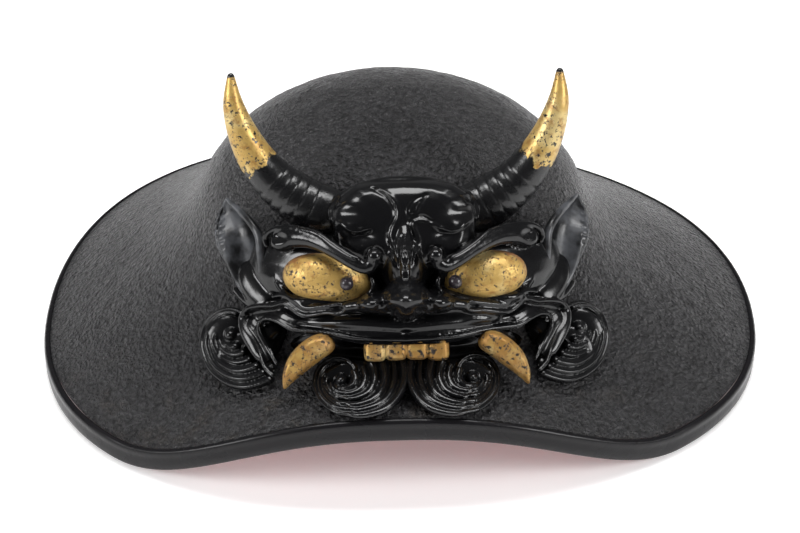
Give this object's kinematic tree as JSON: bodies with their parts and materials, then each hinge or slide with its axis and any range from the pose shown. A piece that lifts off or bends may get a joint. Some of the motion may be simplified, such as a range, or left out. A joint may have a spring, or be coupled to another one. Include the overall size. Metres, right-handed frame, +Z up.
{
  "type": "jingasa helmet",
  "caption": "Wide-brimmed lacquered war hat with a domed crown, arched front brim and a carved horned demon mask on its front.",
  "frame": {"origin": "on the floor, under the middle of the hat's outline box", "axes": "+X to the viewer's right facing the mask, -Y towards the mask's front, +Z up"},
  "size_m": [0.38, 0.3386, 0.1783],
  "materials": {
    "textured_lacquer": "black lacquer over a fine pebbled ground, satin",
    "smooth_lacquer": "smooth black lacquer, satin",
    "gloss_lacquer": "polished black lacquer on carved wood",
    "gold_leaf": "aged gold leaf with dark specks over red-brown ground",
    "dark_pupil": "dark lacquered dome",
    "red_lacquer": "red lacquer inside the hat"
  },
  "bodies": {
    "root": {"hat_shell": "textured_lacquer", "rim_band": "smooth_lacquer", "mask_face": "gloss_lacquer", "front_teeth": "gold_leaf", "eye_left": "gold_leaf", "eye_right": "gold_leaf", "pupil_left": "dark_pupil", "pupil_right": "dark_pupil", "horn_left": "gold_leaf", "horn_right": "gold_leaf", "ear_left": "gloss_lacquer", "ear_right": "gloss_lacquer", "fang_left": "gold_leaf", "fang_right": "gold_leaf", "cheek_curl_left": "gloss_lacquer", "cheek_curl_right": "gloss_lacquer", "chin_curl_left": "gloss_lacquer", "chin_curl_right": "gloss_lacquer"}
  },
  "joints": []
}
